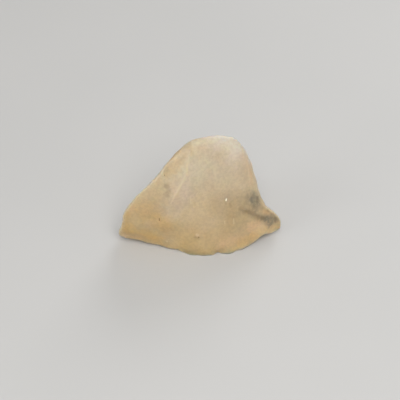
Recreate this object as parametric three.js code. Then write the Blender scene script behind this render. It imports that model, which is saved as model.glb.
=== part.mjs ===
// A tektite: one natural fragment of pale yellow impact glass, smoothed by blown sand.
// It stands like a leaning tooth on a small flat spot, with a steep broad face in front,
// a low pointed tip at its left and a low rounded toe at its right.
// Millimetres. +X runs along its length, +Y goes to its back and +Z is up.

import * as THREE from 'three';
import { mergeVertices } from 'three/addons/utils/BufferGeometryUtils.js';

// Driving dimensions of the finished stone.
const LENGTH = 30.3; // from the left tip to the right toe
const DEPTH = 16.4; // from the front edge to the back edge
const HEIGHT = 21.6; // from the flat spot to the crest

// How finely the stone is faceted.
const STEPS_AROUND = 7; // facets between two neighbouring ribs
const STEPS_UP = 5; // facets between two neighbouring levels
const EDGE_SOFTNESS = 0.3; // 0 gives sharp corners at the ribs, 0.5 round ones

// The crown closes over the highest level in rings that are drawn in by these shares.
const CROWN_INSETS = [0.4, 0.75, 0.95];

// Ribs run up the stone from the flat spot to the crest, in order round it.
// Each has one point on every level: the edge of the flat spot, the underside,
// the lowest outer edge, five up the flank and the edge of the crest.
const RIBS = {
  leftEdge: [
    [-4.6, 5.0, 0],
    [-9.6, 4.6, 0.4],
    [-15.2, 4.1, 1.1],
    [-14.9, 2.3, 4.5],
    [-13.9, 2.7, 8.2],
    [-11.8, 2.6, 11.7],
    [-9.1, 2.4, 14.9],
    [-6.4, 2.9, 18.7],
    [-4.0, 4.9, 20.4],
  ],
  frontLeftRidge: [
    [-3.2, 2.0, 0],
    [-5.0, 1.8, 0.15],
    [-7.5, 1.9, 0.45],
    [-7.4, 1.1, 3.4],
    [-6.5, 0.9, 7.6],
    [-5.3, 1.2, 11.8],
    [-3.7, 2.2, 15.2],
    [-2.5, 3.9, 19.0],
    [-1.9, 6.1, 21.0],
  ],
  frontFoot: [
    [-1.0, 1.2, 0],
    [-1.2, 0.5, 0],
    [-1.4, -0.2, 0.15],
    [-1.6, 0.1, 2.7],
    [-1.6, 1.0, 6.8],
    [-1.2, 2.1, 10.9],
    [-0.5, 3.6, 14.9],
    [0.2, 5.3, 18.7],
    [0.8, 7.0, 20.9],
  ],
  frontBelly: [
    [2.2, 1.2, 0],
    [2.3, 0.5, 0],
    [2.4, -0.2, 0.15],
    [3.4, 0.4, 2.7],
    [4.4, 2.1, 6.7],
    [4.4, 3.8, 10.6],
    [4.4, 5.5, 14.4],
    [4.3, 7.1, 18.1],
    [4.2, 8.3, 20.5],
  ],
  rightFrontRidge: [
    [5.2, 3.2, 0],
    [6.8, 2.5, 0.15],
    [8.3, 1.5, 0.4],
    [9.6, 2.9, 2.9],
    [10.0, 4.5, 6.5],
    [9.6, 6.1, 10.2],
    [8.9, 7.3, 13.7],
    [7.9, 8.2, 17.3],
    [6.5, 8.9, 19.6],
  ],
  toe: [
    [6.3, 6.6, 0],
    [10.4, 6.4, 0.4],
    [14.7, 6.1, 1.0],
    [15.2, 6.6, 2.5],
    [13.8, 6.3, 5.0],
    [11.8, 6.7, 6.8],
    [10.1, 8.9, 11.7],
    [8.7, 9.9, 15.4],
    [7.3, 9.8, 18.3],
  ],
  backRight: [
    [5.2, 10.6, 0],
    [8.0, 11.4, 0.8],
    [10.2, 11.2, 2.1],
    [9.8, 10.6, 3.2],
    [9.5, 10.3, 5.0],
    [9.3, 10.8, 8.0],
    [8.9, 11.4, 12.0],
    [7.9, 11.2, 15.9],
    [5.9, 10.6, 18.9],
  ],
  backMiddle: [
    [0.4, 12.2, 0],
    [1.0, 14.0, 0.8],
    [1.8, 15.8, 2.4],
    [2.1, 16.2, 5.0],
    [2.2, 15.7, 8.2],
    [2.2, 14.6, 11.4],
    [2.2, 13.1, 14.6],
    [2.2, 11.5, 17.6],
    [2.2, 9.7, 20.1],
  ],
  backLeft: [
    [-4.0, 9.4, 0],
    [-7.0, 10.0, 0.8],
    [-10.4, 10.0, 2.2],
    [-10.5, 9.0, 4.6],
    [-9.8, 7.9, 7.1],
    [-8.4, 7.1, 10.2],
    [-6.7, 6.6, 13.4],
    [-4.6, 7.0, 16.7],
    [-2.5, 7.8, 19.7],
  ],
};

// The middle line of the blunt crest, from its left end to its right end.
const CREST_LINE = [
  [-2.7, 6.5, 21.1],
  [1.2, 8.0, 21.4],
  [6.2, 9.7, 19.7],
];

// Broad shallow hollows pressed into the faces: where the middle lies, how far a hollow
// reaches, how deep it is and which way it is pressed.
const HOLLOWS = [
  { at: [-9.5, 1.4, 7.0], reach: 4.6, depth: 0.4, push: [0.1, 1, 0] },
  { at: [4.5, 4.2, 11.5], reach: 4.8, depth: 0.3, push: [-0.2, 1, -0.3] },
  { at: [11.6, 3.8, 0.9], reach: 3.8, depth: 0.5, push: [-0.3, 1, 0.3] },
  { at: [-1.5, 13.6, 9.5], reach: 6.5, depth: 1.0, push: [0.2, -1, -0.3] },
  { at: [7.6, 13.4, 6.0], reach: 4.4, depth: 0.6, push: [-0.6, -1, 0] },
  { at: [-10.0, 6.4, 0.8], reach: 4.2, depth: 0.5, push: [0, 0, 1] },
  { at: [-7.2, 8.6, 11.5], reach: 3.8, depth: 0.5, push: [0.6, -1, -0.3] },
];

function curveThrough(places) {
  const points = places.map((place) => new THREE.Vector3(...place));
  return new THREE.CatmullRomCurve3(points, false, 'catmullrom', 0.5);
}

// One smooth curve up each rib, cut into even steps.
function levelRings() {
  const upCurves = Object.values(RIBS).map(curveThrough);
  const levelCount = RIBS.toe.length;
  const stepCount = (levelCount - 1) * STEPS_UP;
  const rings = [];
  for (let step = 0; step <= stepCount; step += 1) {
    const corners = upCurves.map((curve) => curve.getPoint(step / stepCount));
    rings.push(ringThrough(corners).map(pressHollows));
  }
  return rings;
}

// A closed ring round the stone through one point on every rib.
function ringThrough(corners) {
  const round = new THREE.CatmullRomCurve3(corners, true, 'catmullrom', EDGE_SOFTNESS);
  const count = corners.length * STEPS_AROUND;
  return round.getPoints(count).slice(0, count);
}

// Moves a point in with every hollow that reaches it, most at the hollow's middle.
function pressHollows(point) {
  const pressed = point.clone();
  for (const { at, reach, depth, push } of HOLLOWS) {
    const away = point.distanceTo(new THREE.Vector3(...at)) / reach;
    if (away < 1) {
      const share = (1 - away * away) ** 2;
      pressed.addScaledVector(new THREE.Vector3(...push).normalize(), depth * share);
    }
  }
  return pressed;
}

// The crown's rings draw in towards the middle line of the crest.
function crownRings(crest) {
  const line = curveThrough(CREST_LINE);
  const left = CREST_LINE[0][0];
  const right = CREST_LINE[CREST_LINE.length - 1][0];
  return CROWN_INSETS.map((inset) =>
    crest.map((point) => {
      const along = THREE.MathUtils.clamp((point.x - left) / (right - left), 0, 1);
      return point.clone().lerp(line.getPoint(along), inset);
    }),
  );
}

// The triangles that close a ring, facing up.
function lidTriangles(ring) {
  const outline = ring.map((point) => new THREE.Vector2(point.x, point.y));
  return THREE.ShapeUtils.triangulateShape(outline, []);
}

// Skins the rings from the flat spot up and closes both ends.
function skin(rings) {
  const count = rings[0].length;
  const topRow = rings.length - 1;
  const triangles = [];
  for (let row = 0; row < topRow; row += 1) {
    for (let i = 0; i < count; i += 1) {
      const next = (i + 1) % count;
      const a = row * count + i;
      const b = row * count + next;
      triangles.push(a, b, b + count);
      triangles.push(a, b + count, a + count);
    }
  }
  for (const [a, b, c] of lidTriangles(rings[0])) {
    triangles.push(c, b, a);
  }
  for (const lid of lidTriangles(rings[topRow])) {
    triangles.push(...lid.map((corner) => topRow * count + corner));
  }
  const geometry = new THREE.BufferGeometry().setFromPoints(rings.flat());
  geometry.setIndex(triangles);
  return mergeVertices(geometry);
}

// Scales the skin to its driving dimensions and centres its box over the origin.
function fitToSize(geometry) {
  geometry.computeBoundingBox();
  const size = geometry.boundingBox.getSize(new THREE.Vector3());
  geometry.scale(LENGTH / size.x, DEPTH / size.y, HEIGHT / size.z);
  geometry.computeBoundingBox();
  const middle = geometry.boundingBox.getCenter(new THREE.Vector3());
  geometry.translate(-middle.x, -middle.y, -geometry.boundingBox.min.z);
  return geometry;
}

function makeStone() {
  const rings = levelRings();
  const crest = rings[rings.length - 1];
  const geometry = fitToSize(skin([...rings, ...crownRings(crest)]));
  geometry.computeVertexNormals();
  const glass = new THREE.MeshStandardMaterial({
    color: 0xcdb988,
    roughness: 0.45,
    metalness: 0,
  });
  const stone = new THREE.Mesh(geometry, glass);
  stone.name = 'tektite';
  return stone;
}

const part = new THREE.Group();
part.add(makeStone());

export default part;
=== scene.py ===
# Looks of a tektite: one wind-smoothed fragment of pale yellow, milky impact glass.
# The stone's skin is made here as one fine mesh over the imported solid, with its creases,
# dimples, pits and chips. Smoky wisps, white grains and dark specks lie sealed in it, and one
# dark speck is painted shade. Parts of the glass's colour are painted light and shade.
# Places and sizes are in millimetres, and MM turns them into Blender's metres.

import math
import random

import bmesh
import bpy
import numpy as np
from mathutils import Matrix, Vector, noise
from mathutils.bvhtree import BVHTree


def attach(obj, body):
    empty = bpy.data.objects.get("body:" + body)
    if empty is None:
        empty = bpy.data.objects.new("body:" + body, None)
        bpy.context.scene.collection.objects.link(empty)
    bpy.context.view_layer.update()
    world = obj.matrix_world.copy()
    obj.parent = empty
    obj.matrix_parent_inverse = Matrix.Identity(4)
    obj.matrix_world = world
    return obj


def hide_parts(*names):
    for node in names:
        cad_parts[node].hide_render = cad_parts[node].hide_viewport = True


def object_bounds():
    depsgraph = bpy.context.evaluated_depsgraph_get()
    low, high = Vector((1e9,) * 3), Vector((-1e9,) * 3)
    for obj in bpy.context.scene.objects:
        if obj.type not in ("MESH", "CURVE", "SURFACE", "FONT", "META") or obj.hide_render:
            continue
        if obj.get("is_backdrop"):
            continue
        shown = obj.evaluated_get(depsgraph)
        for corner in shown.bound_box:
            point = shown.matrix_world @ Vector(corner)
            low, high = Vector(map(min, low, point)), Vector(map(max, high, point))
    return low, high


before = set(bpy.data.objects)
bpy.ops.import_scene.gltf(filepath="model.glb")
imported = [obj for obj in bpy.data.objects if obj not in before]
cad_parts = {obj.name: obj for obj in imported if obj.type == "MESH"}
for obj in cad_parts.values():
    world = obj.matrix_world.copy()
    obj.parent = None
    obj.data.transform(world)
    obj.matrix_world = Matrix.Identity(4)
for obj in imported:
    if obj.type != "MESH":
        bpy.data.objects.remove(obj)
CAD_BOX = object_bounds()
MM = 0.001
BOX_LOW, BOX_HIGH = (np.array(corner) / MM for corner in CAD_BOX)

# The camera stands in front of the stone and looks down at it.
VIEW_TILT = math.radians(40)
VIEW_DISTANCE = 300.0
VIEW_WIDTH = 74.0  # how much the camera takes in, across, at the aim point
SENSOR_WIDTH = 36.0
AIM = Vector((0.0, -1.18, 7.60))
ACROSS = Vector((1, 0, 0))
AHEAD = Vector((0, math.cos(VIEW_TILT), -math.sin(VIEW_TILT)))
UPWARD = Vector((0, math.sin(VIEW_TILT), math.cos(VIEW_TILT)))
EYE = AIM - AHEAD * VIEW_DISTANCE

# The stone's skin.
WELD_GAP = 0.001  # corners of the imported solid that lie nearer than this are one
SKIN_PITCH = 0.146  # width of one face of the fine mesh
MELT_SHARE = 0.5  # how far a round of melting moves a corner toward its neighbours' mean
SWELL_BACK = 0.52  # and how far it then swells back
FIRST_MELTING = 10  # rounds that smooth away the steps of the fine mesh
FACET_MELTING = 54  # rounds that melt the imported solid's flat facets
GIVE_EVENING = 10  # rounds that even out how far neighbouring corners give
EDGE_GIVE = 0.08  # the furthest that melting the facets may wear a low edge back
FLANK_GIVE = 0.3  # and an edge higher up
CREST_GIVE = 0.8  # and the edges of the crest
FLANK_HEIGHTS = (2.5, 5.0)  # where the flanks' softness starts and is full
CREST_HEIGHTS = (15.0, 19.5)  # where the crest's softness starts and is full
CREST_ROUNDING = 36  # rounds that round the crest off
BOX_EASE = 0.2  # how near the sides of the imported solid's box the skin starts to give way
FLAT_SPOT_HEIGHT = 0.03  # skin lower than this belongs to the flat spot
PIT_COUNT = 260  # small pits that blown sand has left all over
PIT_SEED = 5
PIT_REACHES = (0.24, 0.60)  # from the smallest to the widest
BACK_PIT_GROWTH = 2.0  # how much wider they are on the back
FRONT_PIT_SHARE = 0.08  # depth of a pit, as a share of its reach
BACK_PIT_SHARE = 0.16
BACK_TURN = (-0.1, 0.5)  # how far the skin faces away where its back starts and is full
WIND = Vector((0.85, 0.10, -0.50)).normalized()  # the way the wind's flutes run
FLUTE_WIDTH = 1.7
FLUTE_SEED = 13.0
FLUTE_STRETCH = 0.7  # 0 gives round swells, near 1 long flutes
FRONT_FLUTE_DEPTH = 0.015
BACK_FLUTE_DEPTH = 0.17
CREASE_STEEPNESS = 1.6  # how steeply a crease falls off on both its sides

# Fine waves all over the skin.
WAVES = [
    {"height": 0.05, "width": 3.6, "seed": 2.0},
    {"height": 0.025, "width": 1.3, "seed": 5.0},
    {"height": 0.010, "width": 0.5, "seed": 9.0},
]

# Frost, tints and painted light and shade on the skin.
EDGE_FROST_ROUNDS = 7  # rounds of averaging, over which sharp edges then stand proud
EDGE_FROST_PROUD = (0.015, 0.06)  # how proud an edge is where its frost starts and is full
CREASE_FROST_WIDTH = 0.28
CREASE_FROST_FADE = 2.4  # how far from a crease's ends its frost is full
TINT_RIPPLES = ((0.9, 31.0), (0.4, 37.0))  # width and seed of the ripples in the outlines
TINT_RAGGEDNESS = 0.35
HAIRLINE_RAGGEDNESS = 0.1
TINT_FULL = 0.9  # how far in from its outline a tint is full, as a share of its reach

# Grains and wisps sealed in the glass.
GRAIN_ROUGHNESS = 0.22
GRAIN_LUMPS = 1.5  # how many lumps lie along half a grain
GRAIN_SEED_STEP = 7.3
WISP_SEED = 11
WISPS_PER_MM = 26  # wisps for each millimetre of reach of a patch at full strength
WISP_STRAY = 0.30  # how far wisps stray from a patch's line, as a share of its reach
WISP_TURN = 0.25  # how much they turn from the line's way
WISP_DEPTHS = (0.5, 1.4)
WISP_LENGTHS = (0.5, 1.5)
WISP_HALF_WIDTHS = (0.05, 0.16)
WISP_HALF_THICKNESSES = (0.02, 0.05)
WISP_BENDS = (-0.2, 0.2)
WISP_STEPS = 8  # along a wisp
WISP_SIDES = 8  # round it
WISP_END = 0.02  # how near its ends, as a share of its length, it stops growing thinner
WISP_TAPER = 0.8

# How a line of sight that misses the skin is searched for where it passes nearest.
SIGHT_STEP = 0.25  # from one try to the next
SIGHT_STEPS = 48  # how many are tried before the aim point's distance, and behind it

# Edges that have worn rounder than their neighbours.
WORN_EDGES = [
    {"at": (13.8, -1.7, 4.4), "reach": 4.5, "give": 0.9},
    {"at": (11.0, 2.6, 2.2), "reach": 3.4, "give": 0.5},
]

# A place with two numbers is (across, up): how far right of and above the aim point it is
# seen from the camera. It lies where that line of sight meets the skin, or passes nearest
# to it. A place with three numbers is (x, y, z), and lies on the nearest skin.

# Raised creases between the facets that wind has cut. The pale colour along a crease is partly
# frost and partly a painted highlight.
CREASES = [
    {
        "line": [
            (-1.9, 8.9), (-2.0, 7.8), (-2.2, 6.7), (-2.4, 5.4), (-2.7, 4.4),
            (-3.2, 3.3), (-3.8, 2.2), (-4.2, 1.5), (-4.8, 0.6), (-5.4, -0.6),
        ],
        "height": 0.10,
        "half_width": 0.42,
        "frost": 1.0,
    },
    {
        "line": [(7.6, 9.2), (8.5, 6.5), (9.1, 4.1), (9.9, 1.6)],
        "height": 0.04,
        "half_width": 0.36,
        "frost": 0.12,
    },
    {
        "line": [(7.6, -1.7), (10.2, -2.3), (12.0, -3.0)],
        "height": 0.04,
        "half_width": 0.36,
        "frost": 0.05,
    },
]

# Small hollows: worn dimples, burst bubbles and the chips in the lower edge.
HOLLOWS = [
    {"at": (-0.4, -6.7), "reach": 0.55, "depth": 0.10},
    {"at": (-14.1, -4.5), "reach": 0.40, "depth": 0.06},
    {"at": (-11.8, -1.4), "reach": 0.45, "depth": 0.06},
    {"at": (-7.5, -3.4), "reach": 0.30, "depth": 0.08},
    {"at": (3.6, 8.5), "reach": 0.55, "depth": 0.07},
    {"at": (6.0, -0.6), "reach": 0.70, "depth": 0.08},
    {"at": (9.6, 0.3), "reach": 1.30, "depth": 0.12},
    {"at": (11.3, -3.6), "reach": 1.30, "depth": 0.12},
]

# Broad unevenness of the outline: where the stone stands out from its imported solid, or
# lies back from it. A swell moves across and up, as seen from the camera, and near, which
# is toward the camera.
SWELLS = [
    {"at": (-14.2, -2.8), "reach": 1.6, "move": (-0.12, 0.15)},
    {"at": (-9.0, 3.1), "reach": 1.1, "move": (-0.06, 0.12)},
    {"at": (-12.6, -0.8), "reach": 1.4, "move": (0.08, -0.08)},
    {"at": (-8.4, 3.7), "reach": 1.1, "move": (0.10, -0.10)},
    {"at": (-7.5, 4.8), "reach": 1.2, "move": (0.10, -0.12)},
    {"at": (-4.6, 8.7), "reach": 1.2, "move": (-0.08, 0.08)},
    {"at": (-2.6, 10.3), "reach": 1.6, "move": (0.06, -0.26)},
    {"at": (1.4, 11.7), "reach": 3.0, "move": (0.0, -0.24)},
    {"at": (6.0, 11.3), "reach": 1.0, "move": (0.06, 0.10)},
    {"at": (8.0, 9.8), "reach": 1.0, "move": (0.05, 0.05)},
    {"at": (9.6, 6.5), "reach": 1.3, "move": (0.10, 0.03)},
    {"at": (10.8, 2.2), "reach": 1.0, "move": (-0.12, -0.06)},
    {"at": (11.8, -0.3), "reach": 1.0, "move": (0.14, 0.12)},
    {"at": (-11.6, -7.2), "reach": 2.6, "move": (0.0, 0.46)},
    {"at": (-8.0, -8.1), "reach": 2.2, "move": (0.0, 0.10)},
    {"at": (-4.2, -9.4), "reach": 1.7, "move": (0.0, 0.20)},
    {"at": (-1.6, -10.2), "reach": 1.2, "move": (0.0, -0.20)},
    {"at": (0.9, -10.4), "reach": 1.4, "move": (0.0, -0.18)},
    {"at": (3.3, -9.9), "reach": 1.0, "move": (0.0, 0.42)},
    {"at": (5.5, -9.7), "reach": 1.8, "move": (0.0, -0.48)},
    {"at": (7.6, -9.0), "reach": 1.3, "move": (0.0, -0.15)},
    {"at": (11.8, -6.5), "reach": 1.8, "move": (0.0, 0.26)},
    {"at": (14.8, -5.3), "reach": 0.9, "move": (0.0, -0.10)},
    {"at": (11.6, -6.0), "reach": 2.6, "move": (0.0, 0.0), "near": 0.65},
]

# Tints in the glass just under the skin, among them some painted light and shade. Each patch is
# strongest along its line and fades out over its reach. Smoke is grey and umber brown, and both
# have wisps in them.
SMOKE = [
    {"line": [(9.8, 0.7), (10.5, 0.1), (10.2, -0.9)], "reach": 1.6, "strength": 0.55},
    {"line": [(9.9, 1.1), (10.0, 0.9)], "reach": 0.50, "strength": 0.60},
    {"line": [(8.8, 0.5), (8.9, 0.3)], "reach": 0.80, "strength": 0.35},
    {"line": [(9.8, -0.3), (10.6, -0.6)], "reach": 0.80, "strength": 0.90},
    {"line": [(9.6, 0.1), (10.2, -0.2), (10.2, -0.7)], "reach": 1.00, "strength": 0.75},
    {"line": [(10.8, -0.7), (11.0, -0.9)], "reach": 0.50, "strength": 0.60},
    {"line": [(12.3, -3.6), (13.1, -3.8), (12.9, -4.3)], "reach": 1.45, "strength": 0.80},
    {"line": [(13.2, -2.7), (14.2, -3.4), (14.3, -3.7)], "reach": 0.95, "strength": 0.45},
    {"line": [(6.4, 6.0, 10.0), (3.6, 7.4, 8.4), (0.8, 7.8, 7.6)],
     "reach": 1.5, "strength": 0.30},
]
UMBER = [
    {"line": [(7.5, -1.6), (8.1, -1.9), (9.2, -2.3), (10.5, -2.85), (11.6, -3.2)],
     "reach": 1.15, "strength": 0.50},
    {"line": [(8.6, -2.1), (9.9, -2.6), (10.8, -2.9)], "reach": 0.85, "strength": 0.65},
    {"line": [(11.4, -3.2), (11.8, -3.5)], "reach": 0.80, "strength": 0.80},
    {"line": [(10.65, 0.5), (10.6, -0.3)], "reach": 0.40, "strength": 0.70},
    {"line": [(13.9, -3.4), (13.95, -4.1)], "reach": 0.45, "strength": 0.75},
    {"line": [(12.5, -1.9), (12.7, -2.05)], "reach": 0.35, "strength": 0.70},
]
# Shade is umber without wisps, and darkens the glass in patches and spots. Some of it is painted
# shade: along the upper-left outline, the crest's top-left edge, the top of the left facet and
# the lower rim of the dimple low in the middle.
PAINTED_SHADE_AND_DARK_MARKS = [
    # The next four are painted shade, along the upper-left outline, the crest's top-left edge and
    # the top of the left facet.
    {"line": [(-3.2, 10.2), (-4.3, 8.9), (-5.6, 7.4), (-6.6, 6.2)],
     "reach": 1.3, "strength": 0.50},
    {"line": [(-3.2, 10.2), (-1.7, 11.0), (-0.4, 11.5)], "reach": 0.9, "strength": 0.45},
    {"line": [(-2.2, 9.8), (-3.8, 8.2)], "reach": 1.8, "strength": 0.28},
    {"line": [(-6.6, 6.2), (-8.6, 3.8)], "reach": 0.8, "strength": 0.40},
    {"line": [(-6.4, 2.6), (-5.95, 2.3)], "reach": 0.65, "strength": 0.42},
    {"line": [(-5.7, 1.7), (-6.2, 0.9)], "reach": 0.80, "strength": 0.34},
    # Painted shade: a dark crescent on the lower rim of the dimple low in the middle.
    {"line": [(-1.0, -6.9), (-0.3, -7.1)], "reach": 0.35, "strength": 0.45},
    {"line": [(5.0, 0.2), (8.0, 0.0)], "reach": 2.4, "strength": 0.26},
    {"line": [(7.6, -0.8), (9.2, -1.1), (11.4, -1.5)], "reach": 1.0, "strength": 0.26},
    {"line": [(4.75, -0.6), (4.95, -0.75)], "reach": 0.50, "strength": 0.42},
    {"line": [(5.45, -0.75), (5.7, -1.2)], "reach": 0.55, "strength": 0.46},
    {"line": [(5.0, -0.9), (6.2, -0.6)], "reach": 1.3, "strength": 0.22},
    {"line": [(3.2, -0.8), (5.6, -2.0)], "reach": 3.2, "strength": 0.24},
    {"line": [(-11.0, -5.3), (-5.4, -5.5)], "reach": 1.6, "strength": 0.16},
    {"line": [(7.6, 7.6), (8.7, 4.4)], "reach": 2.0, "strength": 0.14},
]
# Ochre is deep yellow, milky cloudy and rose pinkish. Bloom is whitish and honey warm, and both
# are partly painted light.
OCHRE = [
    {"line": [(-14.2, -5.5), (-13.4, -5.1)], "reach": 2.0, "strength": 0.6},
    # Partly the left facet's own tan and partly painted shade on its top, which faces the light.
    {"line": [(-2.4, 9.4), (-4.0, 7.6), (-6.0, 4.8)], "reach": 1.8, "strength": 0.30},
    {"line": [(-13.0, -3.6), (-10.4, -1.2), (-7.4, 2.6)], "reach": 3.2, "strength": 0.24},
    {"line": [(-9.8, -2.8), (-6.6, -4.6)], "reach": 3.0, "strength": 0.40},
    {"line": [(-12.8, -6.2), (-8.6, -7.2)], "reach": 2.8, "strength": 0.75},
    {"line": [(7.6, -7.9), (9.8, -6.9)], "reach": 1.6, "strength": 0.40},
    {"line": [(12.3, -2.3), (12.7, -2.7)], "reach": 0.7, "strength": 0.22},
    {"line": [(13.6, -5.0), (14.4, -4.9)], "reach": 0.8, "strength": 0.3},
    {"line": [(-10.0, 2.0, 3.0), (-3.0, 7.0, 1.5), (4.0, 8.0, 2.0)],
     "reach": 3.0, "strength": 0.55},
    {"line": [(9.6, 1.0, 14.0), (10.0, 2.6, 8.0)], "reach": 2.6, "strength": 0.35},
]
MILKY = [
    {"line": [(-3.2, 2.6), (-4.0, -0.8), (-5.2, -2.4)], "reach": 3.2, "strength": 0.75},
    {"line": [(-2.4, -3.6), (1.6, -3.8)], "reach": 3.2, "strength": 0.30},
    {"line": [(2.0, 9.0), (4.6, 8.6), (6.0, 6.4)], "reach": 3.2, "strength": 0.45},
    {"line": [(2.0, 5.4), (2.2, 4.2)], "reach": 0.8, "strength": 0.45},
    {"line": [(-5.0, 0.0, 15.0), (-1.0, 3.0, 15.5), (1.0, 6.0, 12.0)],
     "reach": 4.0, "strength": 0.6},
]
ROSE = [
    # Partly the toe's pinkish glass and partly painted light under the toe, which faces down into
    # shade.
    {"line": [(9.6, -5.2), (12.4, -5.2)], "reach": 2.2, "strength": 0.75},
    {"line": [(4.4, -8.2), (8.0, -7.6), (10.4, -6.4)], "reach": 2.6, "strength": 0.45},
    {"line": [(8.0, 8.7), (9.0, 5.6), (9.6, 3.6)], "reach": 1.3, "strength": 0.25},
    {"line": [(11.9, -2.3), (13.0, -2.8)], "reach": 0.8, "strength": 0.40},
]
BLOOM_AND_PAINTED_HIGHLIGHT = [
    # Painted highlight: a whitish patch on the crest's right corner, where the light gleams.
    {"line": [(3.6, 11.4), (6.6, 10.8), (6.8, 8.6)], "reach": 3.4, "strength": 0.95},
    {"line": [(-2.6, 3.6), (-3.0, 0.8)], "reach": 1.9, "strength": 0.30},
    # Painted light: paler glass under the toe, which faces down into shade.
    {"line": [(11.0, -5.9), (13.2, -5.5)], "reach": 1.2, "strength": 0.4},
]
# Mostly painted light: warm, paler glass along the lower edges and under the toe, which face down
# into shade, as if light glowed through the thin glass there.
HONEY_AND_PAINTED_LIGHT = [
    {"line": [(-15.0, -5.9), (-13.9, -6.6), (-11.1, -7.3)], "reach": 1.5, "strength": 0.6},
    {"line": [(-11.1, -7.3), (-7.4, -8.2), (-3.7, -9.2)], "reach": 1.0, "strength": 0.3},
    {"line": [(-12.0, -1.5), (-8.6, -1.8)], "reach": 2.6, "strength": 0.26},
    {"line": [(3.6, -9.9), (5.6, -9.5), (8.3, -8.5)], "reach": 1.2, "strength": 0.45},
    {"line": [(10.2, -6.5), (11.7, -5.9), (13.4, -5.4)], "reach": 1.4, "strength": 0.55},
]

TINTS = {
    "smoke": SMOKE,
    "umber and painted shade": UMBER + PAINTED_SHADE_AND_DARK_MARKS,
    "ochre": OCHRE,
    "milky": MILKY,
    "rose": ROSE,
    "bloom and painted highlight": BLOOM_AND_PAINTED_HIGHLIGHT,
    "honey and painted light": HONEY_AND_PAINTED_LIGHT,
}

# Pale hairlines in the skin, where the frosting is thickest. The one along the right outline is
# partly a painted light rim.
HAIRLINES = [
    {"line": [(8.9, 6.0), (9.2, 3.4)], "reach": 0.30, "strength": 0.5},
    {"line": [(10.3, 2.2), (10.8, 1.0), (11.4, -0.4), (12.1, -1.4)],
     "reach": 0.40, "strength": 0.22},
    {"line": [(-1.75, 0.7), (-1.72, -0.7)], "reach": 0.20, "strength": 0.7},
    {"line": [(2.7, 5.9), (2.9, 4.0)], "reach": 0.35, "strength": 0.4},
    {"line": [(4.55, -3.9), (4.60, -4.4)], "reach": 0.18, "strength": 0.6},
    {"line": [(6.2, -3.5), (6.25, -4.4)], "reach": 0.18, "strength": 0.6},
    {"line": [(-6.1, -7.6), (-6.1, -7.7)], "reach": 0.20, "strength": 0.7},
    {"line": [(-0.55, -6.4), (-0.45, -6.5)], "reach": 0.42, "strength": 0.65},
]

# White grains and dark specks, sunk in the skin so far that they just show: place, half
# sizes across and up, and how deep the middle lies.
WHITE_GRAINS = [
    {"at": (4.90, 0.02), "half": (0.27, 0.38), "depth": 0.15},
    {"at": (-14.0, -4.5), "half": (0.12, 0.12), "depth": 0.05},
    {"at": (-11.9, -1.4), "half": (0.14, 0.10), "depth": 0.06},
    {"at": (-0.5, -6.45), "half": (0.12, 0.10), "depth": 0.07},
    {"at": (-3.4, 3.6, 12.8), "half": (0.16, 0.14), "depth": 0.10},
    {"at": (4.8, 5.6, 11.6), "half": (0.12, 0.18), "depth": 0.12},
    {"at": (9.8, 2.4, 7.4), "half": (0.15, 0.12), "depth": 0.10},
]
DARK_SPECKS_AND_PAINTED_SHADE = [
    # The first is painted shade: the dark crescent on the lower rim of the dimple low in the
    # middle.
    {"at": (-0.22, -6.88), "half": (0.20, 0.13), "depth": 0.10},
    {"at": (-7.55, -3.5), "half": (0.10, 0.44), "depth": 0.08},
    {"at": (-3.1, 6.7), "half": (0.10, 0.10), "depth": 0.10},
    {"at": (-6.55, 4.6), "half": (0.12, 0.11), "depth": 0.07},
]


# --- Working the skin -----------------------------------------------------------------


def packed_skin():
    """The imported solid's corners and faces, welded, in millimetres."""
    solid = bmesh.new()
    solid.from_mesh(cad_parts["tektite"].data)
    bmesh.ops.scale(solid, vec=Vector((1, 1, 1)) / MM, verts=solid.verts)
    bmesh.ops.remove_doubles(solid, verts=solid.verts, dist=WELD_GAP)
    mesh = bpy.data.meshes.new("packed skin")
    solid.to_mesh(mesh)
    solid.free()
    return mesh


def even_skin():
    """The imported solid's skin as small faces of one size."""
    coarse = bpy.data.objects.new("packed skin", packed_skin())
    bpy.context.scene.collection.objects.link(coarse)
    even = coarse.modifiers.new("even faces", "REMESH")
    even.mode = "VOXEL"
    even.voxel_size = SKIN_PITCH
    ready = coarse.evaluated_get(bpy.context.evaluated_depsgraph_get())
    mesh = bpy.data.meshes.new_from_object(ready)
    bpy.data.objects.remove(coarse)
    return mesh


class Skin:
    """The fine skin while it is being worked: its corners, edges and faces as arrays."""

    def __init__(self, mesh):
        self.mesh = mesh
        self.corners = self.read(mesh.vertices, "co")
        edges = np.zeros(len(mesh.edges) * 2, int)
        mesh.edges.foreach_get("vertices", edges)
        self.starts, self.ends = edges.reshape(-1, 2).T
        self.links = np.bincount(edges, minlength=len(self.corners))
        self.faces = [tuple(face.vertices) for face in mesh.polygons]

    @staticmethod
    def read(items, name):
        flat = np.zeros(len(items) * 3)
        items.foreach_get(name, flat)
        return flat.reshape(-1, 3)

    def averaged(self, values):
        """The mean of each corner's neighbours."""
        total = np.zeros_like(values)
        for column in range(values.shape[1]):
            total[:, column] = np.bincount(self.starts, values[self.ends, column], len(values))
            total[:, column] += np.bincount(self.ends, values[self.starts, column], len(values))
        return total / self.links[:, None]

    def melted(self, values, rounds):
        """Smoothed values. Each round swells them back a little, so that nothing shrinks."""
        for _ in range(rounds):
            values = values + MELT_SHARE * (self.averaged(values) - values)
            values = values - SWELL_BACK * (self.averaged(values) - values)
        return values

    def facing(self):
        """The way the skin faces at each corner."""
        self.mesh.vertices.foreach_set("co", self.corners.ravel())
        self.mesh.update()
        return self.read(self.mesh.vertex_normals, "vector")

    def finder(self):
        """Finds the places where lines of sight meet the skin, and the nearest skin."""
        return BVHTree.FromPolygons([Vector(c) for c in self.corners], self.faces)


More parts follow.
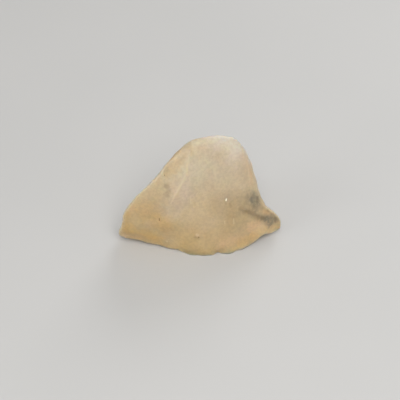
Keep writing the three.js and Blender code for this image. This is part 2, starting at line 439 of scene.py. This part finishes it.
def soft_step(values, low, high):
    """0 below low, rising smoothly to 1 above high."""
    share = np.clip((values - low) / (high - low), 0, 1)
    return share * share * (3 - 2 * share)


def bowl(away):
    """1 in the middle, falling smoothly to 0 at distance 1."""
    return np.clip(1 - away * away, 0, 1) ** 2


def noise_at(corners, width, seed):
    """Soft noise, from -1 to 1, whose swells are about this wide."""
    shift = Vector((seed, seed * 0.7, -seed))
    return np.array([noise.noise(Vector(c) / width + shift) for c in corners])


def distance_to_point(corners, point):
    return np.linalg.norm(corners - np.array(point), axis=1)


def distance_to_line(corners, line):
    """How far each corner is from a line through several points."""
    nearest = np.full(len(corners), np.inf)
    for start, end in zip(line, line[1:]):
        start = np.array(start)
        step = np.array(end) - start
        along = np.clip((corners - start) @ step / (step @ step), 0, 1)
        gap = np.linalg.norm(corners - start - along[:, None] * step, axis=1)
        nearest = np.minimum(nearest, gap)
    return nearest


def on_skin(place):
    """The point on the skin at a place, and the way the skin faces there."""
    if len(place) == 3:
        return finder.find_nearest(Vector(place))[:2]
    target = AIM + ACROSS * place[0] + UPWARD * place[1]
    sight = (target - EYE).normalized()
    point, facing = finder.ray_cast(EYE, sight)[:2]
    if point is not None:
        return point, facing
    steps = range(-SIGHT_STEPS, SIGHT_STEPS + 1)
    beside = [finder.find_nearest(target + sight * step * SIGHT_STEP) for step in steps]
    return min(beside, key=lambda found: found[3])[:2]


def line_on_skin(places):
    return [on_skin(place)[0] for place in places]


def melt_facets():
    """Melts the flat facets into one smooth skin. Low edges stay crisp, the crest rounds."""
    crisp = skin.melted(skin.corners, FIRST_MELTING)
    round_skin = skin.melted(crisp, FACET_MELTING)
    crest = soft_step(crisp[:, 2:], *CREST_HEIGHTS)
    for _ in range(CREST_ROUNDING):
        round_skin += crest * (skin.averaged(round_skin) - round_skin)
    move = round_skin - crisp
    flank = soft_step(crisp[:, 2:], *FLANK_HEIGHTS)
    give = EDGE_GIVE + flank * (FLANK_GIVE - EDGE_GIVE) + crest * (CREST_GIVE - FLANK_GIVE)
    for worn in WORN_EDGES:
        away = distance_to_point(crisp, worn["at"])[:, None]
        give += bowl(away / worn["reach"]) * worn["give"]
    share = give / np.maximum(np.linalg.norm(move, axis=1, keepdims=True), give)
    for _ in range(GIVE_EVENING):
        share = skin.averaged(share)
    return crisp + move * share


def fit_to_box(corners):
    """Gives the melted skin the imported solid's own box, and its flat spot its level."""
    now_low = corners.min(0)
    now_high = corners.max(0)
    fitted = BOX_LOW + (corners - now_low) * (BOX_HIGH - BOX_LOW) / (now_high - now_low)
    fitted[flat_spot, 2] = 0
    return fitted


def keep_in_box(corners):
    """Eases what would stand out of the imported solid's box back into it, without a flat.
    Below, the skin ends at the flat spot's own level instead."""
    out = np.maximum(corners - (BOX_HIGH - BOX_EASE), 0)
    corners = np.where(out > 0, BOX_HIGH - BOX_EASE * np.exp(-out / BOX_EASE), corners)
    out = np.maximum(BOX_LOW + BOX_EASE - corners, 0)
    out[:, 2] = 0
    corners = np.where(out > 0, BOX_LOW + BOX_EASE * np.exp(-out / BOX_EASE), corners)
    corners[flat_spot, 2] = 0
    return np.maximum(corners, BOX_LOW)


def swell_outline():
    """Moves the skin's broad swells out and its broad hollows back."""
    corners = skin.corners.copy()
    for swell in SWELLS:
        away = distance_to_point(skin.corners, on_skin(swell["at"])[0])
        across, up = swell["move"]
        move = np.array(ACROSS * across + UPWARD * up - AHEAD * swell.get("near", 0))
        corners += bowl(away / swell["reach"])[:, None] * move
    return corners


def at_back(facing):
    """0 where the skin faces the camera, rising to 1 where it faces away."""
    return soft_step(facing @ np.array(AHEAD), *BACK_TURN)


def pits(corners, back):
    """How deep the scattered small pits are at each corner."""
    draw = random.Random(PIT_SEED)
    smallest, widest = PIT_REACHES
    share = FRONT_PIT_SHARE + back * (BACK_PIT_SHARE - FRONT_PIT_SHARE)
    depth = np.zeros(len(corners))
    for _ in range(PIT_COUNT):
        number = draw.randrange(len(corners))
        reach = smallest * (widest / smallest) ** draw.random()
        reach *= 1 + back[number] * (BACK_PIT_GROWTH - 1)
        near = np.flatnonzero(np.abs(corners - corners[number]).max(1) < reach)
        away = distance_to_point(corners[near], corners[number]) / reach
        depth[near] = np.maximum(depth[near], share[number] * reach * bowl(away))
    return depth


def flutes(corners, back):
    """Long shallow grooves that run with the wind, deeper on the back."""
    wind = np.array(WIND)
    squeezed = corners - FLUTE_STRETCH * (corners @ wind)[:, None] * wind
    depth = FRONT_FLUTE_DEPTH + back * (BACK_FLUTE_DEPTH - FRONT_FLUTE_DEPTH)
    return depth * noise_at(squeezed, FLUTE_WIDTH, FLUTE_SEED)


def press_details():
    """The skin's corners after the details are pressed in and raised."""
    corners = skin.corners
    lift = np.zeros(len(corners))
    for crease in CREASES:
        away = distance_to_line(corners, line_on_skin(crease["line"])) / crease["half_width"]
        lift += crease["height"] * np.exp(-away * CREASE_STEEPNESS)
    for hollow in HOLLOWS:
        away = distance_to_point(corners, on_skin(hollow["at"])[0])
        lift -= hollow["depth"] * bowl(away / hollow["reach"])
    facing = skin.facing()
    back = at_back(facing)
    lift -= pits(corners, back)
    lift += flutes(corners, back)
    for wave in WAVES:
        lift += wave["height"] * noise_at(corners, wave["width"], wave["seed"])
    return corners + lift[:, None] * facing


# --- Where the glass is tinted and frosted, and where light and shade are painted -----


def edge_frost_and_painted_rim():
    """0 on flats and in hollows, up to 1 on sharp edges, which the wind frosts most. The pale
    colour there is partly frost and partly a painted light rim.
    """
    worn_flat = skin.corners.copy()
    for _ in range(EDGE_FROST_ROUNDS):
        worn_flat = skin.averaged(worn_flat)
    proud = np.sum((skin.corners - worn_flat) * skin.facing(), axis=1)
    return soft_step(proud, *EDGE_FROST_PROUD)


def crease_frost_and_painted_highlight():
    """How pale each crease is: partly frost, partly a painted highlight along it. The paleness
    fades out toward the crease's two ends.
    """
    corners = skin.corners
    share = np.zeros(len(corners))
    for crease in CREASES:
        line = line_on_skin(crease["line"])
        near = np.exp(-(distance_to_line(corners, line) / CREASE_FROST_WIDTH) ** 2)
        ends = np.array([line[0], line[-1]])
        gaps = np.linalg.norm(corners[:, None] - ends, axis=2).min(1)
        fade = soft_step(gaps, 0, CREASE_FROST_FADE)
        share = np.maximum(share, crease["frost"] * near * fade)
    return share


def tint(patches, ripples, raggedness):
    """How much of a tint each corner has. Ripples make the patches' outlines ragged."""
    corners = skin.corners
    stretch = 1 + raggedness * ripples[0] + raggedness * ripples[1]
    share = np.zeros(len(corners))
    for patch in patches:
        away = distance_to_line(corners, line_on_skin(patch["line"])) * stretch / patch["reach"]
        share = np.maximum(share, patch["strength"] * soft_step(1 - away, 0, TINT_FULL))
    return share


def make_stone():
    ripples = [noise_at(skin.corners, width, seed) for width, seed in TINT_RIPPLES]
    masks = {
        "edge frost and painted rim": edge_frost_and_painted_rim(),
        "crease frost and painted highlight": crease_frost_and_painted_highlight(),
        "hairlines": tint(HAIRLINES, ripples, HAIRLINE_RAGGEDNESS),
    }
    for name, patches in TINTS.items():
        masks[name] = tint(patches, ripples, TINT_RAGGEDNESS)
    mesh = skin.mesh
    for name, share in masks.items():
        mesh.attributes.new(name, "FLOAT", "POINT").data.foreach_set("value", share)
    mesh.name = "glass_stone"
    mesh.transform(Matrix.Scale(MM, 4))
    stone = add_piece("glass_stone", mesh, impact_glass())
    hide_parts("tektite")


# --- Pieces ---------------------------------------------------------------------------


def add_piece(name, mesh, material):
    mesh.shade_smooth()
    mesh.materials.clear()
    mesh.materials.append(material)
    piece = bpy.data.objects.new(name, mesh)
    bpy.context.scene.collection.objects.link(piece)
    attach(piece, "root")
    return piece


def add_shape(name, shape, material):
    """Makes a piece of a finished bmesh shape."""
    mesh = bpy.data.meshes.new(name)
    shape.to_mesh(mesh)
    shape.free()
    add_piece(name, mesh, material)


def add_grain(shape, centre, half, facing, seed):
    """One rough grain: half sizes across, up and through the skin."""
    upright = UPWARD - facing * UPWARD.dot(facing)
    upright.normalize()
    sideways = upright.cross(facing)
    turn = Matrix((sideways, upright, facing)).transposed().to_4x4()
    made = bmesh.ops.create_icosphere(shape, subdivisions=3, radius=1)
    for corner in made["verts"]:
        lump = noise.noise(corner.co * GRAIN_LUMPS + Vector((seed, 0, 0)))
        rough = 1 + GRAIN_ROUGHNESS * lump
        sized = Vector((corner.co[i] * half[i] * rough for i in range(3)))
        corner.co = (centre + turn @ sized) * MM


def grains_piece(name, grains, material):
    shape = bmesh.new()
    for number, grain in enumerate(grains):
        point, facing = on_skin(grain["at"])
        centre = point - facing * grain["depth"]
        across, up = grain["half"]
        half = (across, up, min(across, up))
        add_grain(shape, centre, half, facing, number * GRAIN_SEED_STEP)
    add_shape(name, shape, material)


def add_wisp(shape, wisp):
    """One thin, pointed streak that bends as it runs under the skin."""
    sideways = wisp["facing"].cross(wisp["way"]).normalized()
    rings = []
    for step in range(WISP_STEPS + 1):
        share = step / WISP_STEPS
        blunt_share = min(max(share, WISP_END), 1 - WISP_END)
        swell = math.sin(math.pi * blunt_share) ** WISP_TAPER
        middle = wisp["middle"] + wisp["way"] * wisp["length"] * (share - 0.5)
        middle = middle + sideways * wisp["bend"] * math.sin(math.pi * share)
        ring = []
        for side in range(WISP_SIDES):
            angle = math.tau * side / WISP_SIDES
            out = sideways * math.cos(angle) * wisp["half_width"]
            out = out + wisp["facing"] * math.sin(angle) * wisp["half_thickness"]
            ring.append(shape.verts.new((middle + out * swell) * MM))
        rings.append(ring)
    for ring, following in zip(rings, rings[1:]):
        for side in range(WISP_SIDES):
            beside = (side + 1) % WISP_SIDES
            shape.faces.new((ring[side], ring[beside], following[beside], following[side]))
    shape.faces.new(list(reversed(rings[0])))
    shape.faces.new(rings[-1])


def draw_wisp(draw, line, reach):
    """One wisp somewhere near a line: where it lies, which way it runs and its sizes."""
    leg = draw.randrange(len(line) - 1)
    along = (line[leg + 1] - line[leg]).normalized()
    middle = line[leg].lerp(line[leg + 1], draw.random())
    stray = Vector((draw.gauss(0, 1), draw.gauss(0, 1), draw.gauss(0, 1)))
    point, facing = finder.find_nearest(middle + stray * reach * WISP_STRAY)[:2]
    way = along + Vector((draw.gauss(0, WISP_TURN), 0, draw.gauss(0, WISP_TURN)))
    return {
        "facing": facing,
        "way": (way - facing * way.dot(facing)).normalized(),
        "middle": point - facing * draw.uniform(*WISP_DEPTHS),
        "length": draw.uniform(*WISP_LENGTHS),
        "half_width": draw.uniform(*WISP_HALF_WIDTHS),
        "half_thickness": draw.uniform(*WISP_HALF_THICKNESSES),
        "bend": draw.uniform(*WISP_BENDS),
    }


def wisps_piece(name, patches, material):
    """Many fine streaks along each smoky patch, a little under the skin."""
    draw = random.Random(WISP_SEED)
    shape = bmesh.new()
    for patch in patches:
        line = line_on_skin(patch["line"])
        for _ in range(int(WISPS_PER_MM * patch["reach"] * patch["strength"])):
            add_wisp(shape, draw_wisp(draw, line, patch["reach"]))
    bmesh.ops.recalc_face_normals(shape, faces=shape.faces)
    add_shape(name, shape, material)


# --- Node groups that several materials share -----------------------------------------


def shown(red, green, blue):
    """A colour as a screen shows it, 0 to 255, turned into the light that Blender wants."""
    shares = (value / 255 for value in (red, green, blue))
    lights = (s / 12.92 if s < 0.04045 else ((s + 0.055) / 1.055) ** 2.4 for s in shares)
    return tuple(lights) + (1.0,)


class Bench:
    """Lays and links nodes in one material's or group's tree, in plain steps."""

    def __init__(self, tree):
        self.tree = tree

    def lay(self, kind, given=(), **settings):
        """Lays a node. What is given goes into its sockets, as plain values or links."""
        node = self.tree.nodes.new(kind)
        for name, value in settings.items():
            setattr(node, name, value)
        for socket, value in dict(given).items():
            self.put(node.inputs[socket], value)
        return node

    def put(self, socket, value):
        if isinstance(value, bpy.types.NodeSocket):
            self.tree.links.new(value, socket)
        else:
            socket.default_value = value

    def math(self, operation, first, second):
        given = {0: first, 1: second}
        return self.lay("ShaderNodeMath", given, operation=operation).outputs[0]

    def rise(self, value, low, high, first=0.0, last=1.0):
        """Turns values from low to high into a smooth rise from first to last."""
        given = dict(enumerate((value, low, high, first, last)))
        smooth = {"interpolation_type": "SMOOTHSTEP"}
        return self.lay("ShaderNodeMapRange", given, **smooth).outputs[0]

    def blend(self, share, first, second):
        given = {0: share, 6: first, 7: second}
        return self.lay("ShaderNodeMix", given, data_type="RGBA").outputs[2]

    def shift_value(self, colour, change):
        """Makes a colour lighter or darker by a share that changes over the surface."""
        given = {"Color": colour, "Value": self.math("ADD", 1.0, change)}
        return self.lay("ShaderNodeHueSaturation", given).outputs[0]

    def mask(self, name):
        return self.lay("ShaderNodeAttribute", attribute_name=name).outputs["Fac"]

    def place(self):
        return self.lay("ShaderNodeTexCoord").outputs["Object"]


def new_group(name, inputs, output):
    """An empty node group of plain number sockets, and its two ends."""
    group = bpy.data.node_groups.new(name, "ShaderNodeTree")
    for socket in inputs:
        group.interface.new_socket(socket, in_out="INPUT", socket_type="NodeSocketFloat")
    group.interface.new_socket(output, in_out="OUTPUT", socket_type="NodeSocketFloat")
    bench = Bench(group)
    given = bench.lay("NodeGroupInput").outputs
    return bench, given, bench.lay("NodeGroupOutput").inputs[output]


def make_clouds_group():
    """Soft patches, from 0 to 1. Patch Width is in millimetres."""
    inputs = ("Patch Width", "Detail", "Twist", "Low", "High")
    bench, given, share = new_group("clouds", inputs, "Share")
    values = {
        "Vector": bench.place(),
        "Scale": bench.math("DIVIDE", 1 / MM, given["Patch Width"]),
        "Detail": given["Detail"],
        "Distortion": given["Twist"],
    }
    patches = bench.lay("ShaderNodeTexNoise", values).outputs["Fac"]
    bench.put(share, bench.rise(patches, given["Low"], given["High"]))
    return bench.tree


def make_grain_group():
    """Fine frosting for a bump: small grains with broader worn swells under them."""
    bench, given, height = new_group("frosted grain", ("Grain Width", "Swell Width"), "Height")
    place = bench.place()
    layers = []
    for width, detail in (("Grain Width", 3.0), ("Swell Width", 2.0)):
        scale = bench.math("DIVIDE", 1 / MM, given[width])
        values = {"Vector": place, "Scale": scale, "Detail": detail}
        layers.append(bench.lay("ShaderNodeTexNoise", values).outputs["Fac"])
    bench.put(height, bench.math("ADD", *layers))
    return bench.tree


class Finish(Bench):
    """One material: the bench of its tree, its shader and the shared groups."""

    def __init__(self, name):
        self.material = bpy.data.materials.new(name)
        self.material.use_nodes = True
        super().__init__(self.material.node_tree)
        self.shader = self.tree.nodes["Principled BSDF"]

    def clouds(self, width, low=0.3, high=0.7, detail=2.0, twist=0.0):
        given = {"Patch Width": width, "Low": low, "High": high, "Detail": detail, "Twist": twist}
        return self.group(CLOUDS, given).outputs["Share"]

    def group(self, tree, given):
        node = self.tree.nodes.new("ShaderNodeGroup")
        node.node_tree = tree
        for socket, value in given.items():
            self.put(node.inputs[socket], value)
        return node

    def grain(self, width, swell, depth):
        """Bumps the surface with the frosted grain, this deep in millimetres."""
        given = {"Grain Width": width, "Swell Width": swell}
        height = self.group(FROSTED_GRAIN, given).outputs["Height"]
        bump = self.lay("ShaderNodeBump", {"Height": height, "Distance": depth * MM})
        self.put(self.shader.inputs["Normal"], bump.outputs["Normal"])

    def done(self, **values):
        """Puts what is left into the shader's own sockets, and gives the material."""
        for name, value in values.items():
            self.put(self.shader.inputs[name.replace("_", " ")], value)
        return self.material


# --- Materials ------------------------------------------------------------------------

# Painted light: the glass runs from straw at the flat spot to cream at the top, paler upward as
# light from above would make it.
CREAM_AND_PAINTED_TOP_LIGHT = shown(244, 235, 212)
STRAW = shown(209, 187, 138)
PAINTED_TOP_LIGHT_HEIGHT = 20.0  # the glass turns from straw at the flat spot to cream at this height
MILK = shown(232, 218, 192)
MILK_SHARE = 0.3  # how strong the milk's clouds are
AMBER = shown(204, 174, 120)
AMBER_SHARE = 0.2
FROST_AND_PAINTED_LIGHT = shown(252, 240, 212)
SMOKY_GREY = shown(142, 135, 120)
# Bloom is partly a painted highlight, honey partly painted light and umber partly painted shade.
TINT_COLOURS = {  # one is laid over the other in this order
    "milky": MILK,
    "bloom and painted highlight": shown(254, 241, 227),
    "rose": shown(250, 218, 178),
    "ochre": shown(230, 196, 122),
    "honey and painted light": shown(255, 220, 158),
    "umber and painted shade": shown(164, 140, 106),
}
ABSORBED = (1.0, 0.82, 0.45, 1.0)  # what is left of white light after a way through the glass
ABSORPTION = 60.0
GRAIN_COLOURS = (shown(230, 218, 192), shown(208, 194, 164))
SPECK_AND_SHADE_COLOURS = (shown(156, 130, 96), shown(126, 102, 72))
WISP_COLOURS = (shown(150, 146, 138), shown(112, 100, 84))
FLOOR_COLOURS = ((0.50, 0.495, 0.485, 1), (0.49, 0.486, 0.476, 1))


def impact_glass():
    made = Finish("impact glass")
    height = made.lay("ShaderNodeSeparateXYZ", {0: made.place()}).outputs["Z"]
    # Painted top light: straw low down, turning to cream higher up.
    body = made.blend(made.rise(height, 0.0, PAINTED_TOP_LIGHT_HEIGHT * MM), STRAW, CREAM_AND_PAINTED_TOP_LIGHT)
    paler = made.clouds(6.0, low=0.40, high=0.66, detail=3.0, twist=0.6)
    body = made.blend(made.math("MULTIPLY", MILK_SHARE, paler), body, MILK)
    amber = made.clouds(3.2, low=0.45, high=0.75, detail=3.0, twist=0.4)
    body = made.blend(made.math("MULTIPLY", AMBER_SHARE, amber), body, AMBER)
    for name, colour in TINT_COLOURS.items():
        body = made.blend(made.mask(name), body, colour)
    cloudy = made.clouds(0.8, low=0.30, high=0.60, detail=4.0, twist=0.8)
    cloudy = made.rise(cloudy, 0.0, 1.0, first=0.45, last=1.0)
    smoke = made.math("MULTIPLY", made.mask("smoke"), cloudy)
    body = made.blend(smoke, body, SMOKY_GREY)
    mottle = made.clouds(0.5, low=0.30, high=0.70, detail=4.0, twist=0.3)
    body = made.shift_value(body, made.rise(mottle, 0.0, 1.0, first=-0.06, last=0.06))
    # Pale on edges, creases and hairlines: partly frost and partly painted light, a rim along the
    # edges and a highlight along the creases.
    broken = made.clouds(0.9, low=0.35, high=0.60, detail=4.0, twist=0.3)
    broken = made.rise(broken, 0.0, 1.0, first=0.25, last=0.75)
    frost = made.math("MULTIPLY", made.mask("edge frost and painted rim"), broken)
    for name in ("crease frost and painted highlight", "hairlines"):
        frost = made.math("MAXIMUM", frost, made.mask(name))
    body = made.blend(frost, body, FROST_AND_PAINTED_LIGHT)
    worn = made.clouds(2.0, low=0.35, high=0.65, detail=4.0)
    made.grain(width=0.18, swell=0.7, depth=0.016)
    depth = made.lay("ShaderNodeVolumeAbsorption", {"Color": ABSORBED, "Density": ABSORPTION})
    made.put(made.tree.nodes["Material Output"].inputs["Volume"], depth.outputs[0])
    return made.done(
        Base_Color=body,
        Roughness=made.rise(worn, 0.0, 1.0, first=0.30, last=0.44),
        IOR=1.46,
        Transmission_Weight=0.5,
        Subsurface_Weight=1.0,
        Subsurface_Scale=0.002,
        Subsurface_Radius=(1.0, 0.75, 0.45),
        Sheen_Weight=0.15,
        Sheen_Roughness=0.4,
    )


def white_grain():
    made = Finish("white grain")
    chalky = made.blend(made.clouds(0.15), *GRAIN_COLOURS)
    made.grain(width=0.08, swell=0.3, depth=0.006)
    return made.done(Base_Color=chalky, Roughness=0.7)


def dark_speck_and_painted_shade():
    made = Finish("dark speck")
    sooty = made.blend(made.clouds(0.15), *SPECK_AND_SHADE_COLOURS)
    made.grain(width=0.06, swell=0.2, depth=0.004)
    return made.done(Base_Color=sooty, Roughness=0.6)


def smoky_wisp():
    made = Finish("smoky wisp")
    hazy = made.blend(made.clouds(0.6, detail=3.0), *WISP_COLOURS)
    return made.done(Base_Color=hazy, Roughness=0.6)


def pale_board():
    made = Finish("pale floor")
    tone = made.blend(made.clouds(40.0), *FLOOR_COLOURS)
    return made.done(Base_Color=tone, Roughness=0.6)


# --- Stage ----------------------------------------------------------------------------

FLOOR_HALF_WIDTH = 1500.0
NEAREST_SEEN = 10.0
LAMPS = [
    {"name": "key softbox", "place": (60, -300, 420), "width": 360, "watts": 2.25},
    {"name": "side fill", "place": (-380, -200, 200), "width": 300, "watts": 0.45},
    {"name": "back rim", "place": (160, 380, 240), "width": 300, "watts": 0.8},
]
SKY_COLOUR = (1.0, 0.99, 0.97, 1)
SKY_STRENGTH = 0.36


def make_floor():
    half = FLOOR_HALF_WIDTH * MM
    corners = [(-half, -half, 0), (half, -half, 0), (half, half, 0), (-half, half, 0)]
    mesh = bpy.data.meshes.new("floor")
    mesh.from_pydata(corners, [], [(0, 1, 2, 3)])
    mesh.materials.append(pale_board())
    floor = bpy.data.objects.new("floor", mesh)
    bpy.context.scene.collection.objects.link(floor)
    floor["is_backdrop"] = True


def soft_light(name, place, width, watts):
    """A round soft light that shines on the stone."""
    lamp = bpy.data.lights.new(name, "AREA")
    lamp.shape = "DISK"
    lamp.size = width * MM
    lamp.energy = watts
    holder = bpy.data.objects.new(name, lamp)
    bpy.context.scene.collection.objects.link(holder)
    holder.location = Vector(place) * MM
    toward = AIM * MM - holder.location
    holder.rotation_euler = toward.to_track_quat("-Z", "Y").to_euler()


def make_world():
    world = bpy.data.worlds.new("studio")
    world.use_nodes = True
    sky = world.node_tree.nodes["Background"]
    sky.inputs["Color"].default_value = SKY_COLOUR
    sky.inputs["Strength"].default_value = SKY_STRENGTH
    bpy.context.scene.world = world


def make_camera():
    lens = bpy.data.cameras.new("front camera")
    lens.lens = SENSOR_WIDTH * VIEW_DISTANCE / VIEW_WIDTH
    lens.sensor_width = SENSOR_WIDTH
    lens.clip_start = NEAREST_SEEN * MM
    camera = bpy.data.objects.new("front camera", lens)
    bpy.context.scene.collection.objects.link(camera)
    camera.location = EYE * MM
    camera.rotation_euler = AHEAD.to_track_quat("-Z", "Y").to_euler()
    bpy.context.scene.camera = camera


# --- Making everything ----------------------------------------------------------------

CLOUDS = make_clouds_group()
FROSTED_GRAIN = make_grain_group()

# The functions above read the skin, its finder and its flat spot as they are by then.
skin = Skin(even_skin())
flat_spot = skin.corners[:, 2] < FLAT_SPOT_HEIGHT
skin.corners = fit_to_box(melt_facets())
finder = skin.finder()
skin.corners = swell_outline()
finder = skin.finder()
skin.corners = keep_in_box(press_details())
finder = skin.finder()

make_stone()
wisps_piece("smoky_wisps", SMOKE + UMBER, smoky_wisp())
grains_piece("white_grains", WHITE_GRAINS, white_grain())
grains_piece("dark_specks_and_painted_shade", DARK_SPECKS_AND_PAINTED_SHADE, dark_speck_and_painted_shade())

make_floor()
for lamp in LAMPS:
    soft_light(**lamp)
make_world()
make_camera()
bpy.context.scene.view_settings.view_transform = "Standard"

sizes = {"cad": CAD_BOX, "visual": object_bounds()}
sizes = {name: [list(corner) for corner in box] for name, box in sizes.items()}
